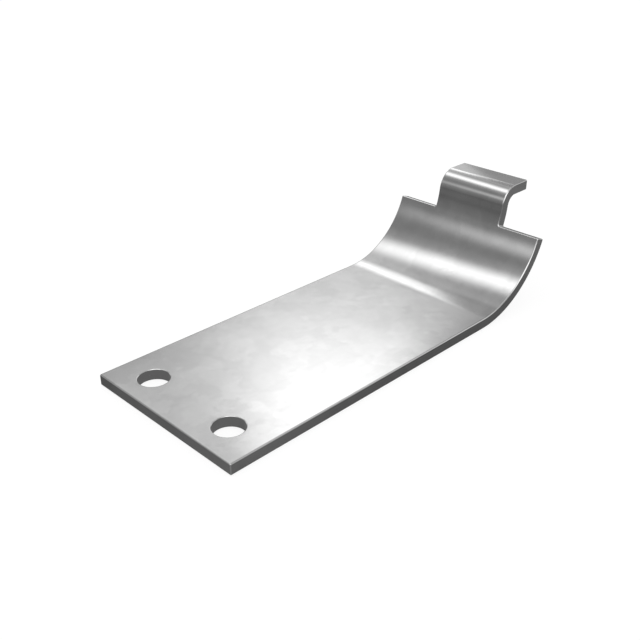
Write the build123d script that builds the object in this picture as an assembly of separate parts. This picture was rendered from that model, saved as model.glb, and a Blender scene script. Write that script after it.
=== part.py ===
from build123d import *
from math import cos, radians, sin
import os

# Tube clip: one piece of flat steel strip, pierced, cut to shape and bent to hold a round tube.
#
# The strip lies flat at its fixed end, where two plain holes take the bolts. Its other end is rolled
# up into a tube seat, an arc that carries the tube from below and goes most of the way up its side.
# The seat ends in two square shoulders. A narrower tongue goes on between them round the same arc and
# then bends back, away from the tube, into a short lip parallel to the flat. The lip is a hook for the
# part that closes the clip: the tongue fits through a slot there, and the shoulders stop beside it.
#
# Millimetres, +Z up. The origin is midway between the two holes, on the underside of the flat.
# +X runs along the strip towards the tube seat, and the part is symmetric about the XZ plane.

# The strip
strip_width = 50.0
strip_thickness = 3.0
edge_break = 0.3  # the flat that deburring leaves on every cut edge, measured along each face

# The flat, from the free end to the line where the seat begins
flat_length = 90.0

# The two fixing holes
hole_diameter = 8.0
hole_spacing = 28.5  # across the strip, centre to centre
hole_to_end = 8.5  # centre to the free end

# The tube seat
tube_diameter = 50.0
seat_wrap = 71.0  # degrees of arc, from the flat to the shoulders

# The tongue and its lip
tongue_width = 23.0
tongue_wrap = 12.0  # degrees that the tongue goes on round the seat's arc
tongue_straight = 0.5  # between that arc and the lip's bend
shoulder_corner_radius = 0.4  # in the two inside corners, where the tongue leaves the shoulders
lip_bend_radius = 3.0  # on the inside of the bend
lip_length = 6.0  # the flat stretch beyond the bend

# Worked out from them
seat_radius = tube_diameter / 2
lip_turn = seat_wrap + tongue_wrap  # undoes the whole wrap, so that the lip is parallel to the flat


def upper_lines():
    """The line of the strip's upper face in side view, up to the shoulders and from there on."""
    flat = Line((-hole_to_end, strip_thickness), (flat_length - hole_to_end, strip_thickness))
    seat = JernArc(flat @ 1, flat % 1, seat_radius, seat_wrap)
    tongue = JernArc(seat @ 1, seat % 1, seat_radius, tongue_wrap)
    straight = PolarLine(tongue @ 1, tongue_straight, direction=tongue % 1)
    lip_bend = JernArc(straight @ 1, straight % 1, lip_bend_radius + strip_thickness, -lip_turn)
    lip = PolarLine(lip_bend @ 1, lip_length, direction=lip_bend % 1)
    return Wire([flat, seat]), Wire([tongue, straight, lip_bend, lip])


def strip(upper_line, width):
    """A stretch of strip, with its thickness below the line of its upper face."""
    side_view = make_face(offset(upper_line, strip_thickness, side=Side.RIGHT).edges())
    return extrude(Plane.XZ * side_view, width / 2, both=True)


def round_inside_corners(clip):
    """Give the clip's two inside corners, at the roots of the tongue, their small radius."""
    through_sheet = Axis((0, 0, 0), (sin(radians(seat_wrap)), 0, -cos(radians(seat_wrap))))
    at_shoulders = clip.edges().filter_by(through_sheet)
    roots = at_shoulders.sort_by(lambda edge: abs(edge.center().Y))[:2]
    return fillet(roots, shoulder_corner_radius)


def pierce(clip):
    """Cut the two fixing holes through the flat."""
    punch = Cylinder(hole_diameter / 2, strip_thickness, align=(Align.CENTER, Align.CENTER, Align.MIN))
    for side in (-1, 1):
        clip -= Pos(0, side * hole_spacing / 2, 0) * punch
    return clip


def is_corner(edge, faces):
    """Whether two of the faces meet at an angle in this edge. A round wall's seam has only one face."""
    normals = [face.normal_at(edge @ 0.5) for face in faces if edge in face.edges()]
    return len(normals) == 2 and normals[0].get_angle(normals[1]) > 1


def deburr(clip):
    """Break every cut edge, and leave the smooth lines where the bends begin and end."""
    faces = clip.faces()
    cut_edges = [edge for edge in clip.edges() if is_corner(edge, faces)]
    return chamfer(cut_edges, edge_break)


full_width_line, tongue_line = upper_lines()
tube_clip = strip(full_width_line, strip_width) + strip(tongue_line, tongue_width)
tube_clip = deburr(pierce(round_inside_corners(tube_clip)))
tube_clip.label = "tube_clip"

os.makedirs("parts", exist_ok=True)
export_step(tube_clip, "parts/tube_clip.step")
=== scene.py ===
import math

import bmesh
import bpy
from mathutils import Matrix, Vector


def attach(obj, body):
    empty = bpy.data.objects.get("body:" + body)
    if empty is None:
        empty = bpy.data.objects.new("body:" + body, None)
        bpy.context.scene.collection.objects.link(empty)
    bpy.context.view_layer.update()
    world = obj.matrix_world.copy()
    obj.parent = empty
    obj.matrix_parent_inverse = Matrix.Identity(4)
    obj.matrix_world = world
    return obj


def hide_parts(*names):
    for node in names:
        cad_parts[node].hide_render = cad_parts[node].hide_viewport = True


# The tube clip in bare rolled steel, on a white table. It is made here as it is in the workshop: a flat
# blank is cut out and pierced, its edges are broken, and then it is bent. The result has the packed
# solid's form, with finer curves and narrower chamfers, and the rolled surface follows the bends.
#
# Lengths are in metres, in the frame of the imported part. A direction in the studio is an azimuth, in
# degrees from +X towards +Y, and an elevation above the floor.

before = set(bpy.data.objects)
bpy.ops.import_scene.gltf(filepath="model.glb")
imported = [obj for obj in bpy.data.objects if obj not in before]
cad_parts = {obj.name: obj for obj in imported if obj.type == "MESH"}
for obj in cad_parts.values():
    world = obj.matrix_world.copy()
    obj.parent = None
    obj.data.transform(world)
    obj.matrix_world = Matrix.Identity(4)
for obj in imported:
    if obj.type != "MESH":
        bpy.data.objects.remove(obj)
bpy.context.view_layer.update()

# The strip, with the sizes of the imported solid
THICKNESS = 0.003
HALF_WIDTH = 0.025
HALF_TONGUE = 0.0115
HOLE_END = -0.0085  # the free end, beside the holes
HOLE_RADIUS = 0.004
HOLE_OFFSET = 0.01425  # each hole's centre from the middle of the strip
FLAT_END = 0.0815
SEAT_RADIUS = 0.025
SEAT_WRAP = math.radians(71.0)
TONGUE_WRAP = math.radians(12.0)
TONGUE_STRAIGHT = 0.0005
LIP_BEND_RADIUS = 0.006  # on the outside of the bend
LIP_LENGTH = 0.006
ROOT_RADIUS = 0.0004  # in the two corners where the tongue leaves the shoulders

# The chamfers on its cut edges, measured along each face
EDGE_BREAK = 0.0002
HOLE_BREAK = 0.00012  # finer, as punched holes are crisper than sheared edges

# The upper face in side view, from x = 0: each stretch's length, and its turn, which is up if positive
STRETCHES = [
    (FLAT_END, 0.0),
    (SEAT_RADIUS * SEAT_WRAP, SEAT_WRAP),
    (SEAT_RADIUS * TONGUE_WRAP, TONGUE_WRAP),
    (TONGUE_STRAIGHT, 0.0),
    (LIP_BEND_RADIUS * (SEAT_WRAP + TONGUE_WRAP), -SEAT_WRAP - TONGUE_WRAP),
    (LIP_LENGTH, 0.0),
]
SHOULDER = FLAT_END + SEAT_RADIUS * SEAT_WRAP
BLANK_END = sum(length for length, _ in STRETCHES)

# The mesh
HOLE_SIDES = 96
ROOT_SIDES = 8
SEAT_STEP = math.radians(1.5)
LIP_STEP = math.radians(3.5)
SHARP = math.radians(30.0)  # the faces on a cut edge turn by more than this
SHADING_TURN = 0.00036  # the shading starts to turn this far from an edge
SHADING_STEPS = 2
EDGE_STEPS = 4
SQUARE_PROFILE = 1.0  # a bevel that leaves the corner as it is
FLAT_PROFILE = 0.25
SAME_PLACE = 1e-7  # corners that are no further apart are one
PLACE_DIGITS = 7  # the decimals that tell one corner's place from another's
CHAMFER_LEAN = (0.1, 0.9)  # the normal's height on a chamfer, which is 0 on a wall and 1 on the sheet

# The steel's surface
NOISE_RANGE = (0.3, 0.7)  # nearly all values of a noise lie in it
TONES = (0.55, 0.61)  # from the darkest clouds to the lightest
PATCHES = ((90.0, 0.024), (160.0, 0.02))  # how many along a metre, and how far their tones stray
PATCH_SHIFT = 0.016  # how far a noise shifts them, which bends their borders
PAINTED_EDGE_HIGHLIGHT = 0.2  # how much brighter the chamfers' colour is: a painted highlight along the cut edges
POLISH = (0.12, 0.15)  # roughness, from the darkest clouds to the lightest
GRAIN_SCALE = (12.0, 1500.0, 12.0)  # streaks in a metre along, across and through the strip
GRAIN_POLISH = 0.01  # how far the grain changes the roughness
WALL_ROUGHNESS = 0.06  # how much rougher the cut walls are
WAVE_HEIGHT = 0.00001
SCRATCH_DEPTH = 0.0000002

# The camera
SENSOR_WIDTH = 0.036
LENS = 0.04768
MILLIMETRES = 1000.0  # in a metre, as a camera's sensor and lens are set in them
CAMERA_PLACE = Vector((-0.09496, -0.13794, 0.11384))
CAMERA_AZIMUTH = 45.0  # this and the elevation say which way it looks
CAMERA_ELEVATION = -28.48
CAMERA_NEAR = 0.01
CAMERA_FAR = 20.0

# The stage. Its greys and strengths are as the metal mirrors them: 0 is black, and 1 is white.
STAGE_RADIUS = 4.0
STAGE_SIDES = 96
FLOOR_DROP = 0.0002  # how far the floor lies under the clip
MAT_DROP = FLOOR_DROP / 2
CARD_DROP = FLOOR_DROP / 4
FLOOR_DIFFUSE = 0.2  # the floor's share that can be in shadow
FLOOR_GLOW = 0.87  # what the camera sees of it in full shadow
AMBIENT = 0.8  # how bright the world is as light
# The dark mat's painted shade: darkest near this middle, lighter further out.
MAT_MIDDLE = (0.07, 0.06, 0.0)
MAT_SHADE_GREYS = [(0.085, 0.125), (0.115, 0.185), (0.16, 0.22), (0.25, 0.165)]  # painted shade, darkest beside the clip: greys by distance from the middle
CORNER_CARD_SIZE = 0.006
TENT_TOP = 72.0
TENT_RINGS = 24
TENT_GREYS = [(0.0, 0.2), (10.0, 0.25), (14.0, 0.3), (44.0, 0.31), (54.0, 0.5), (62.0, 0.5),
              (TENT_TOP, 0.8)]  # by elevation
FLAG_GREY = 0.39
FLAG_OUTLINE = [(31, 8), (33.5, 18), (31, 28), (38, 34), (45.5, 44), (48, 50), (15, 50), (15, 8)]


class Graph:
    """A material's or the world's node tree, with a short way to add and join its nodes."""

    def __init__(self, owner):
        owner.use_nodes = True
        self.tree = owner.node_tree
        self.tree.nodes.clear()

    def add(self, kind, inputs=None, output=0, **settings):
        """A new node's output. Inputs are given by name or number, as values or as other outputs."""
        node = self.tree.nodes.new("ShaderNode" + kind)
        for name, value in settings.items():
            setattr(node, name, value)
        for name, value in (inputs or {}).items():
            if isinstance(value, bpy.types.NodeSocket):
                self.tree.links.new(value, node.inputs[name])
            else:
                node.inputs[name].default_value = value
        return node.outputs[output] if node.outputs else None

    def maths(self, operation, *values):
        return self.add("Math", dict(enumerate(values)), operation=operation)

    def spread(self, value, low, high, new_low, new_high, **settings):
        """The value's range from low to high, stretched to the new one and cut off at its ends."""
        inputs = {"Value": value, "From Min": low, "From Max": high, "To Min": new_low, "To Max": new_high}
        return self.add("MapRange", inputs, **settings)

    def ramp(self, value, greys):
        """Greys at the given values, from 0 to 1, and even changes between them."""
        made = self.add("ValToRGB", {"Fac": value})
        stops = made.node.color_ramp.elements
        for i, (place, level) in enumerate(greys):
            stop = stops[i] if i < 2 else stops.new(1.0)
            stop.position = place
            stop.color = grey(level)
        return made

    def finish(self, surface, kind="OutputMaterial"):
        self.add(kind, {"Surface": surface})


def grey(level):
    return (level, level, level, 1.0)


def arc(centre_x, centre_y, radius, start, end, sides):
    """Points on an arc in the blank's plane, from one angle in degrees to the other."""
    angles = [math.radians(start + (end - start) * i / sides) for i in range(sides + 1)]
    return [(centre_x + radius * math.cos(a), centre_y + radius * math.sin(a)) for a in angles]


def mirrored(points):
    """The points on the strip's other side, in reverse order."""
    return [(x, -y) for x, y in reversed(points)]


def blank_loops():
    """The blank's outline, as two loops that meet on the line through the two holes."""
    half = HOLE_SIDES // 2
    behind = arc(0, -HOLE_OFFSET, HOLE_RADIUS, 270, 90, half)
    ahead = arc(0, -HOLE_OFFSET, HOLE_RADIUS, 90, -90, half)
    hole_end = [(HOLE_END, -HALF_WIDTH), (0, -HALF_WIDTH)] + behind
    root = arc(SHOULDER + ROOT_RADIUS, -HALF_TONGUE - ROOT_RADIUS, ROOT_RADIUS, 180, 90, ROOT_SIDES)
    long_side = [(0, -HALF_WIDTH), (SHOULDER, -HALF_WIDTH)] + root + [(BLANK_END, -HALF_TONGUE)]
    return hole_end + mirrored(hole_end), ahead + long_side + mirrored(ahead + long_side)


def cut_blank():
    """The flat blank with its holes, from z = 0 to its thickness."""
    bm = bmesh.new()
    corners = {}
    for loop in blank_loops():
        outline = []
        for x, y in loop:
            place = (round(x, PLACE_DIGITS), round(y, PLACE_DIGITS))
            if place not in corners:
                corners[place] = bm.verts.new((x, y, 0))
            outline.append(corners[place])
        bm.faces.new(outline)
    raised = bmesh.ops.extrude_face_region(bm, geom=bm.faces[:])["geom"]
    raised_corners = [part for part in raised if isinstance(part, bmesh.types.BMVert)]
    bmesh.ops.translate(bm, vec=(0, 0, THICKNESS), verts=raised_corners)
    bmesh.ops.recalc_face_normals(bm, faces=bm.faces[:])
    return bm


def at_hole(edge):
    """Whether an edge is on a hole's rim, or so close that it was made there."""
    place = edge.verts[0].co
    return math.hypot(place.x, abs(place.y) - HOLE_OFFSET) < HOLE_RADIUS + EDGE_BREAK


def bevel_cut_edges(bm, at_holes, offset, segments, profile):
    """Bevel the cut edges, either those of the holes or all the others."""
    cut = [edge for edge in bm.edges if at_hole(edge) == at_holes and edge.calc_face_angle() > SHARP]
    bmesh.ops.bevel(bm, geom=cut, offset=offset, segments=segments, profile=profile, affect="EDGES",
                    clamp_overlap=False)


def break_edges(bm):
    """Chamfer every cut edge, after a line along each face that keeps the shading's turn close to it."""
    for at_holes, size in ((False, 1.0), (True, HOLE_BREAK / EDGE_BREAK)):
        bevel_cut_edges(bm, at_holes, SHADING_TURN * size, SHADING_STEPS, SQUARE_PROFILE)
        bevel_cut_edges(bm, at_holes, EDGE_BREAK * size, EDGE_STEPS, FLAT_PROFILE)


def score_bends(bm):
    """Cut the mesh across, finely where it will bend, and never in the plane of the shoulders."""
    start = 0.0
    for length, turn in STRETCHES:
        if turn:
            steps = math.ceil(abs(turn) / (SEAT_STEP if turn > 0 else LIP_STEP))
            for i in range(steps):
                place = start + length * (i + 0.5) / steps
                bmesh.ops.bisect_plane(bm, geom=bm.verts[:] + bm.edges[:] + bm.faces[:], dist=SAME_PLACE,
                                       plane_co=(place, 0, 0), plane_no=(1, 0, 0))
        start += length


def mark_cut_faces(bm):
    """Mark the walls that the shears and punches left, and the narrow chamfers along them."""
    wall = bm.faces.layers.float.new("wall")
    chamfer = bm.faces.layers.float.new("chamfer")
    least, most = CHAMFER_LEAN
    for face in bm.faces:
        level = abs(face.normal.z)
        face[wall] = 1.0 - level
        face[chamfer] = 1.0 if least < level < most else 0.0


def on_upper_face(along):
    """Where a point of the upper face's line comes to lie, and which way the line heads there."""
    x, z, heading = 0.0, THICKNESS, 0.0
    for length, turn in STRETCHES:
        run = min(along, length)
        if turn:
            radius = length / turn
            ahead = heading + run / radius
            x += radius * (math.sin(ahead) - math.sin(heading))
            z += radius * (math.cos(heading) - math.cos(ahead))
            heading = ahead
        else:
            x += run * math.cos(heading)
            z += run * math.sin(heading)
        along -= run
        if along <= 0:
            break
    return x, z, heading


def bend(bm):
    """Bend the blank, and keep with each corner the place that it had on the flat sheet."""
    on_sheet = bm.verts.layers.float_vector.new("on_sheet")
    for vert in bm.verts:
        vert[on_sheet] = vert.co
        x, z, heading = on_upper_face(vert.co.x)
        depth = THICKNESS - vert.co.z
        vert.co = (x + depth * math.sin(heading), vert.co.y, z - depth * math.cos(heading))


def make_clip():
    bm = cut_blank()
    break_edges(bm)
    bm.normal_update()
    score_bends(bm)
    mark_cut_faces(bm)
    bend(bm)
    for face in bm.faces:
        face.smooth = True
    mesh = bpy.data.meshes.new("bent_strip")
    bm.to_mesh(mesh)
    bm.free()
    clip = bpy.data.objects.new("bent_strip", mesh)
    bpy.context.scene.collection.objects.link(clip)
    clip.visible_glossy = False
    mesh.materials.append(steel())
    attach(clip, "root")
    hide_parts("tube_clip")


def steel():
    """Bare rolled steel: cloudy from the rolls, with a fine grain along the strip, and a painted highlight
    on its chamfers.
    """
    material = bpy.data.materials.new("rolled_steel")
    g = Graph(material)
    on_sheet = g.add("Attribute", output="Vector", attribute_name="on_sheet")
    cloud = g.add("TexNoise", {"Vector": on_sheet, "Scale": 80.0, "Detail": 4.0, "Roughness": 0.55,
                               "Distortion": 0.3})
    shift = g.add("TexNoise", {"Vector": on_sheet, "Scale": 180.0, "Detail": 3.0}, output="Color")
    patch_place = g.add("VectorMath", {0: shift, 1: (PATCH_SHIFT, PATCH_SHIFT, PATCH_SHIFT), 2: on_sheet},
                        operation="MULTIPLY_ADD")
    along_strip = g.add("Mapping", {"Vector": on_sheet, "Scale": GRAIN_SCALE})
    grain = g.add("TexNoise", {"Vector": along_strip, "Scale": 1.0, "Detail": 3.0, "Roughness": 0.6})
    tone = g.spread(cloud, *NOISE_RANGE, *TONES)
    for scale, stray in PATCHES:
        patch = g.add("TexVoronoi", {"Vector": patch_place, "Scale": scale, "Smoothness": 0.3},
                      output="Color", feature="SMOOTH_F1")
        level = g.add("SeparateColor", {"Color": patch})
        tone = g.maths("ADD", tone, g.spread(level, 0.0, 1.0, -stray, stray))
    # Painted highlight: the chamfers' colour is made lighter so that the cut edges shine.
    chamfer = g.add("Attribute", output="Fac", attribute_name="chamfer")
    tone = g.maths("MULTIPLY_ADD", chamfer, PAINTED_EDGE_HIGHLIGHT, tone)
    colour = g.add("CombineColor", {"Red": tone, "Green": tone, "Blue": tone})
    polish = g.maths("ADD", g.spread(cloud, *NOISE_RANGE, *POLISH),
                     g.spread(grain, *NOISE_RANGE, -GRAIN_POLISH, GRAIN_POLISH))
    wall = g.add("Attribute", output="Fac", attribute_name="wall")
    roughness = g.maths("MULTIPLY_ADD", wall, WALL_ROUGHNESS, polish)
    waves = g.add("Bump", {"Height": cloud, "Strength": 1.0, "Distance": WAVE_HEIGHT})
    scratches = g.add("Bump", {"Height": grain, "Strength": 1.0, "Distance": SCRATCH_DEPTH,
                               "Normal": waves})
    surface = g.add("BsdfPrincipled", {"Base Color": colour, "Metallic": 1.0, "Roughness": roughness,
                                       "Normal": scratches})
    g.finish(surface)
    return material


def direction(azimuth, elevation):
    a, e = math.radians(azimuth), math.radians(elevation)
    return Vector((math.cos(e) * math.cos(a), math.cos(e) * math.sin(a), math.sin(e)))


def stage_mesh(name, corners, faces, material):
    mesh = bpy.data.meshes.new(name)
    mesh.from_pydata(corners, [], faces)
    mesh.materials.append(material)
    made = bpy.data.objects.new(name, mesh)
    bpy.context.scene.collection.objects.link(made)
    return made


def seen_as_background(graph):
    """1 for the rays that see the white background: the camera's, mirrored and refracted ones."""
    camera_ray, glossy_ray, transmission_ray = [
        graph.add("LightPath", output=name)
        for name in ("Is Camera Ray", "Is Glossy Ray", "Is Transmission Ray")]
    return graph.maths("MAXIMUM", graph.maths("MAXIMUM", camera_ray, glossy_ray), transmission_ray)


def glow(graph, strength):
    return graph.add("Emission", {"Color": grey(1.0), "Strength": strength})


def even_glow(name, strength):
    material = bpy.data.materials.new(name)
    g = Graph(material)
    g.finish(glow(g, strength))
    return material


def floor_paint():
    """White for the camera, and a little darker where the clip shades it."""
    material = bpy.data.materials.new("floor_paint")
    g = Graph(material)
    lit = g.add("BsdfDiffuse", {"Color": grey(FLOOR_DIFFUSE)})
    own = glow(g, g.maths("MULTIPLY", seen_as_background(g), FLOOR_GLOW))
    g.finish(g.add("AddShader", {0: lit, 1: own}))
    return material


def mat_with_painted_shade():
    """Dark cloth that glows dimly, with painted shade: darkest beside the clip and lighter further out."""
    material = bpy.data.materials.new("mat_with_painted_shade")
    g = Graph(material)
    here = g.add("TexCoord", output="Object")
    from_middle = g.add("VectorMath", {0: here, 1: MAT_MIDDLE}, output="Value", operation="DISTANCE")
    g.finish(g.add("Emission", {"Color": g.ramp(from_middle, MAT_SHADE_GREYS), "Strength": 1.0}))
    return material


def disc(name, radius, height, material):
    angles = [math.tau * i / STAGE_SIDES for i in range(STAGE_SIDES)]
    corners = [(radius * math.cos(a), radius * math.sin(a), height) for a in angles]
    return stage_mesh(name, corners, [range(STAGE_SIDES)], material)


def card(name, x_range, y_range, level):
    """A lighter card on the mat, for what mirrors only that small part of it."""
    corners = [(x, y, -CARD_DROP) for x in x_range for y in y_range]
    return stage_mesh(name, corners, [(0, 2, 3, 1)], even_glow(name, level))


def tent():
    """The studio's walls as the metal mirrors them: dim at the floor, brighter upwards, open at the top."""
    material = bpy.data.materials.new("tent_cloth")
    g = Graph(material)
    height = g.add("SeparateXYZ", {"Vector": g.add("TexCoord", output="Object")}, output="Z")
    greys = [(math.sin(math.radians(elevation)), level) for elevation, level in TENT_GREYS]
    cloth = g.ramp(g.maths("DIVIDE", height, STAGE_RADIUS), greys)
    g.finish(g.add("Emission", {"Color": cloth, "Strength": 1.0}))
    corners = [direction(360.0 * i / STAGE_SIDES, TENT_TOP * ring / TENT_RINGS) * STAGE_RADIUS
               for ring in range(TENT_RINGS + 1) for i in range(STAGE_SIDES)]
    faces = []
    for ring in range(TENT_RINGS):
        low = ring * STAGE_SIDES
        high = low + STAGE_SIDES
        for i in range(STAGE_SIDES):
            following = (i + 1) % STAGE_SIDES
            faces.append((low + i, low + following, high + following, high + i))
    return stage_mesh("tent", corners, faces, material)


def soft_box(name, at, size, strength, softness=1.0, turn=0.0, distance=3.0):
    """A panel of light that faces the clip from the direction that at gives. Its width and height, which
    are its size, and its turn are in degrees as the clip sees it. It fades out over its outer part, which
    softness gives as a share of its half width."""
    material = bpy.data.materials.new(name)
    g = Graph(material)
    on_panel = g.add("SeparateXYZ", {"Vector": g.add("TexCoord", output="Object")}).node
    half_width, half_height = [distance * math.tan(math.radians(angle / 2)) for angle in size]
    level = strength
    for axis, reach in (("X", half_width), ("Y", half_height)):
        from_middle = g.maths("DIVIDE", g.maths("ABSOLUTE", on_panel.outputs[axis]), reach)
        fade = g.spread(from_middle, 1.0, 1.0 - softness, 0.0, 1.0, interpolation_type="SMOOTHSTEP")
        level = g.maths("MULTIPLY", level, fade)
    g.finish(g.add("AddShader", {0: g.add("BsdfTransparent"), 1: glow(g, level)}))
    corners = [(x * half_width, y * half_height, 0) for x, y in ((-1, -1), (1, -1), (1, 1), (-1, 1))]
    panel = stage_mesh(name, corners, [(0, 1, 2, 3)], material)
    towards = direction(*at)
    panel.matrix_world = (Matrix.Translation(towards * distance)
                          @ towards.to_track_quat("Z", "Y").to_matrix().to_4x4()
                          @ Matrix.Rotation(math.radians(turn), 4, "Z"))
    return panel


def flag(name, outline, distance=2.5):
    """A grey card between the clip and a soft box, with its corners given as directions."""
    corners = [direction(*corner) * distance for corner in outline]
    return stage_mesh(name, corners, [range(len(corners))], even_glow(name, FLAG_GREY))


def show_in_reflections_only(made):
    made.visible_camera = False
    made.visible_diffuse = False
    made.visible_transmission = False
    made.visible_shadow = False


def make_studio():
    """The white floor, and all that only the metal mirrors."""
    disc("floor", STAGE_RADIUS, -FLOOR_DROP, floor_paint())
    for made in (
        disc("dark_mat", STAGE_RADIUS, -MAT_DROP, mat_with_painted_shade()),
        card("hole_card", x_range=(-0.006, 0.006), y_range=(-0.02, 0.02), level=0.18),
        card("corner_card", x_range=(HOLE_END - CORNER_CARD_SIZE, HOLE_END),
             y_range=(-HALF_WIDTH - CORNER_CARD_SIZE, -HALF_WIDTH), level=0.3),
        tent(),
        soft_box("wide_glow", at=(37.5, 16.5), size=(26.0, 71.0), strength=0.6, distance=3.4),
        soft_box("key_glow", at=(47.5, 30.0), size=(21.0, 16.0), strength=1.0, distance=3.2),
        soft_box("key_light", at=(42.0, 36.5), size=(20.0, 15.0), strength=1.26, softness=0.7, turn=17.0),
        flag("key_flag", FLAG_OUTLINE),
        soft_box("overhead_light", at=(100.0, 59.5), size=(71.0, 22.0), strength=1.49, turn=26.0),
        soft_box("fill_glow", at=(58.5, 39.0), size=(24.0, 35.0), strength=0.66, turn=13.0, distance=3.2),
        soft_box("side_light", at=(150.5, 29.0), size=(34.0, 24.0), strength=0.6),
        soft_box("back_light", at=(-105.0, 26.0), size=(56.0, 48.0), strength=1.05, softness=0.5),
        soft_box("camera_light", at=(-145.0, 54.0), size=(60.0, 38.0), strength=1.0, softness=0.5),
        soft_box("near_fill", at=(-42.0, 24.0), size=(64.0, 44.0), strength=0.6),
        soft_box("right_fill", at=(-2.0, 16.0), size=(44.0, 40.0), strength=0.8),
        soft_box("far_fill", at=(100.0, 14.0), size=(50.0, 36.0), strength=0.8),
        soft_box("rear_fill", at=(-170.0, 20.0), size=(70.0, 46.0), strength=0.7),
    ):
        show_in_reflections_only(made)


def make_world():
    """Even white all round, a little dimmer as light than as background."""
    world = bpy.data.worlds.new("studio")
    g = Graph(world)
    level = g.spread(seen_as_background(g), 0.0, 1.0, AMBIENT, 1.0)
    g.finish(g.add("Background", {"Color": grey(1.0), "Strength": level}), "OutputWorld")
    bpy.context.scene.world = world


def make_camera():
    data = bpy.data.cameras.new("camera")
    data.sensor_width = SENSOR_WIDTH * MILLIMETRES
    data.lens = LENS * MILLIMETRES
    data.clip_start = CAMERA_NEAR
    data.clip_end = CAMERA_FAR
    made = bpy.data.objects.new("camera", data)
    made.location = CAMERA_PLACE
    made.rotation_euler = direction(CAMERA_AZIMUTH, CAMERA_ELEVATION).to_track_quat("-Z", "Y").to_euler()
    bpy.context.scene.collection.objects.link(made)
    bpy.context.scene.camera = made


make_clip()
make_studio()
make_world()
make_camera()
bpy.context.scene.view_settings.view_transform = "Standard"
